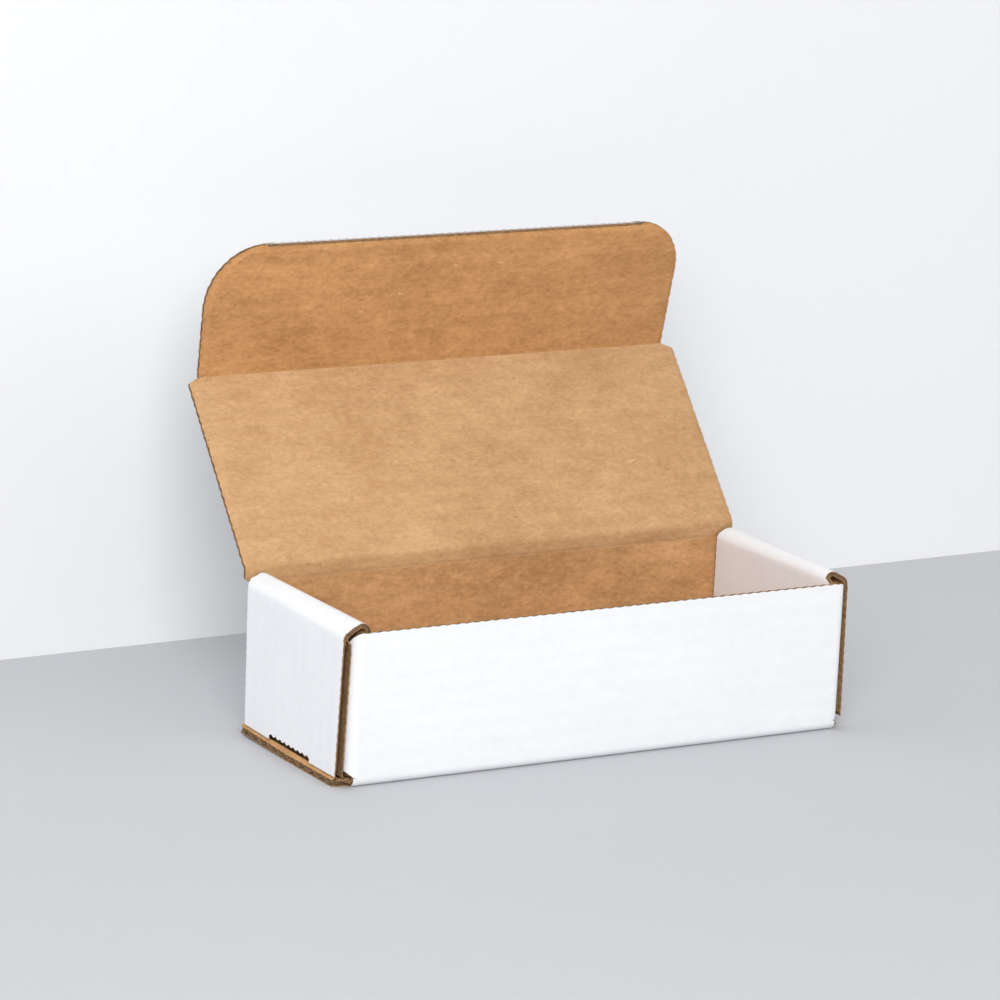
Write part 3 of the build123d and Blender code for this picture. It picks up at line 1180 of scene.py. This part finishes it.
def flapLiner(name, offset, finishes):
    scatter = random.Random(17)
    start = flapRoot - lidWay * starter
    piece, rows = rollSheet(name, (-flapHalf, flapHalf), (start.y, start.z), lidHeading,
                            [("run", starter)] + flapSteps(), offset, toothStep, 2 * len(edgeColumns) - 1)
    fromCrease = flapTangent - flapArc - starter
    sides = []
    for number, row in enumerate(rows):
        along = row[1] + fromCrease
        tooth = (number % 2) * board["toothDepth"] + scatter.uniform(0, 0.08) * mm
        left = flapReach(along, flapShape["leftRadius"]) - tooth
        right = flapReach(along, flapShape["rightRadius"]) - tooth
        sides.append((left, right))
    lookup = {row[1]: side for row, side in zip(rows, sides)}
    shapeSides(piece, rows, lambda s: -lookup[s][0], lambda s: lookup[s][1], edgeColumns)
    freeEdge = rows[-1][1]
    pressEdges(piece, rows, offset, lambda x, s: min(lookup[s][x > 0] - abs(x), freeEdge - s))
    slide(piece, flapSkew)
    topRow = rows[-1][0]
    way = headingWay(math.radians(flapHeading))
    toothEdge(piece, lambda co: abs((co - topRow).dot(way)) < near, Vector((1, 0, 0)),
              way * -board["toothDepth"])
    inside = headingWay(math.radians(flapHeading + 90))
    middle = flapHinge + way * flapShape["length"] / 2
    faceTowards(piece, middle, inside if offset > 0 else -inside)
    thicken(piece, board["liner"], finishes)
    return piece


flapOuter = flapLiner("flap_outer_liner", -half, [whiteFlap, rawFlute, rawRim])
flapInner = flapLiner("flap_inner_liner", half, [kraftFlapPaintedShade, rawFlute, rawRim])
flapWay = headingWay(math.radians(flapHeading))
flapFluteStart = flapHinge + flapWay * board["fluteStart"]
flapFlutes, flapRows = fluteSheet("flap_flutes", (-flapHalf, flapHalf), (flapFluteStart.y, flapFluteStart.z),
                                  flapHeading, flapShape["length"] - flapShape["fluteShort"], 0.35,
                                  2 * len(edgeColumns) - 1)


def flapFluteReach(along, radius):
    return flapReach(along + board["fluteStart"], radius) - board["fluteInset"]


def flapFluteInset(x, along):
    radius = flapShape["rightRadius" if x > 0 else "leftRadius"]
    return min(flapFluteReach(along, radius) - abs(x), flapRows[-1][1] - along)


shapeSides(flapFlutes, flapRows, lambda s: -flapFluteReach(s, flapShape["leftRadius"]),
           lambda s: flapFluteReach(s, flapShape["rightRadius"]), edgeColumns)
pressEdges(flapFlutes, flapRows, 0, flapFluteInset, flapFluteStart)
slide(flapFlutes, flapSkew)
finishFlutes(flapFlutes, rawFlute)
print("front flap made")


# Crushed middle of the two creases that move.
def creaseCore(name, halfWidth, start, heading, turn, radius, shift):
    steps = [("run", crushed["creaseBefore"]), ("fold", turn, radius, 6), ("run", crushed["creaseAfter"])]
    piece, rows = rollSheet(name, (-halfWidth, halfWidth), start, heading, steps)
    slide(piece, shift)
    thicken(piece, crushed["crease"], [rawCore, rawCore, rawCore], centred=True)
    return piece


backCore = creaseCore("lid_crease_core", panelHalf - pressed["width"],
                      (wallY, backTop - crushed["creaseBefore"]), 90,
                      -math.degrees(lidTurn), tray["hingeFold"], lidSkew)
frontStart = flapRoot - lidWay * crushed["creaseBefore"]
frontCore = creaseCore("flap_crease_core", flapHalf - pressed["width"], (frontStart.y, frontStart.z),
                       lidHeading, math.degrees(flapTurn), lidShape["flapFold"], flapSkew)
print("crease cores made")

# Bodies, and the CAD nodes that the pieces stand for.
trayPieces = [trayOuter, trayInner, baseFlutes, wallFlutes, tabCores, leftOuter, leftInner, leftFlutes,
              rightOuter, rightInner, rightFlutes]
for piece in trayPieces:
    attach(piece, "tray")
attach(lidFlutes, "lid")
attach(flapFlutes, "front_flap")
for piece in (lidOuter, lidInner, backCore):
    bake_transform(piece)
for piece in (flapOuter, flapInner, frontCore):
    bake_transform(piece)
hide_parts("tray")
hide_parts("lid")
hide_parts("front_flap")

# Floor, backdrop and light.
stageLook = {
    "floor": (0.575, 0.580, 0.598, 1),
    "backdrop": (0.870, 0.873, 0.884, 1),
    "backdropY": 0.143,
    "backdropTurn": 1.2,
}


def stageFinish(name, colour, oneSided=False):
    finish, tree, shader = startFinish(name, 0.9)
    place = addNode(tree, "ShaderNodeTexCoord").outputs["Object"]
    cloud = noiseNode(tree, place, 3.0, 2)
    darker = tuple(c * 0.97 for c in colour[:3]) + (1,)
    tree.links.new(mixColour(tree, cloud, darker, colour), shader.inputs["Base Color"])
    if oneSided:
        output = tree.nodes["Material Output"]
        clear = addNode(tree, "ShaderNodeBsdfTransparent")
        behind = addNode(tree, "ShaderNodeNewGeometry").outputs["Backfacing"]
        mix = addNode(tree, "ShaderNodeMixShader", {0: behind})
        tree.links.new(shader.outputs[0], mix.inputs[1])
        tree.links.new(clear.outputs[0], mix.inputs[2])
        tree.links.new(mix.outputs[0], output.inputs["Surface"])
    return finish


clearSelection()
bpy.ops.mesh.primitive_plane_add(size=24)
floor = bpy.context.object
floor.name = "floor"
floor.data.materials.append(stageFinish("pale floor", stageLook["floor"]))
bpy.ops.mesh.primitive_plane_add(size=6, location=(0, stageLook["backdropY"], 3),
                                 rotation=(math.radians(90), 0, math.radians(stageLook["backdropTurn"])))
backdrop = bpy.context.object
backdrop.name = "backdrop"
backdrop.data.materials.append(stageFinish("pale backdrop", stageLook["backdrop"], oneSided=True))
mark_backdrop(floor, backdrop)

lights = {
    "key": {"place": (-1.05, -1.75, 1.15), "size": 1.4, "power": 39},
    "fill": {"place": (1.6, -1.5, 1.0), "size": 1.6, "power": 7},
    "top": {"place": (0.0, -0.1, 2.2), "size": 1.8, "power": 5},
}
for name, light in lights.items():
    lamp = bpy.data.objects.new(name, bpy.data.lights.new(name, "AREA"))
    lamp.data.shape = "DISK"
    lamp.data.size = light["size"]
    lamp.data.energy = light["power"]
    lamp.location = light["place"]
    lamp.rotation_euler = (Vector((0, 0, 0.05)) - Vector(light["place"])).to_track_quat("-Z", "Y").to_euler()
    bpy.context.scene.collection.objects.link(lamp)
world = bpy.data.worlds.new("studio")
world.use_nodes = True
world.node_tree.nodes["Background"].inputs["Color"].default_value = (0.96, 0.97, 1.0, 1)
world.node_tree.nodes["Background"].inputs["Strength"].default_value = 0.43
bpy.context.scene.world = world
bpy.context.scene.view_settings.view_transform = "Standard"

# Camera.
cameraView = {
    "place": (-0.81465, -1.32241, 0.44704),
    "azimuth": 30.968,
    "down": 13.423,
    "roll": 2.763,
    "lens": 178.2,
}
camera = bpy.data.objects.new("camera", bpy.data.cameras.new("camera"))
camera.data.sensor_width = 36
camera.data.lens = cameraView["lens"]
camera.data.clip_start = 0.05
azimuth, down, roll = (math.radians(cameraView[k]) for k in ("azimuth", "down", "roll"))
forward = Vector((math.sin(azimuth) * math.cos(down), math.cos(azimuth) * math.cos(down), -math.sin(down)))
level = Vector((math.cos(azimuth), -math.sin(azimuth), 0))
rise = level.cross(forward)
right = level * math.cos(roll) + rise * math.sin(roll)
upward = rise * math.cos(roll) - level * math.sin(roll)
camera.matrix_world = Matrix.Translation(cameraView["place"]) @ Matrix(
    (right, upward, -forward)).transposed().to_4x4()
bpy.context.scene.collection.objects.link(camera)
bpy.context.scene.camera = camera
print("stage, lights and camera made")

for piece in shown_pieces():
    print(piece.name, len(piece.data.polygons), "faces")
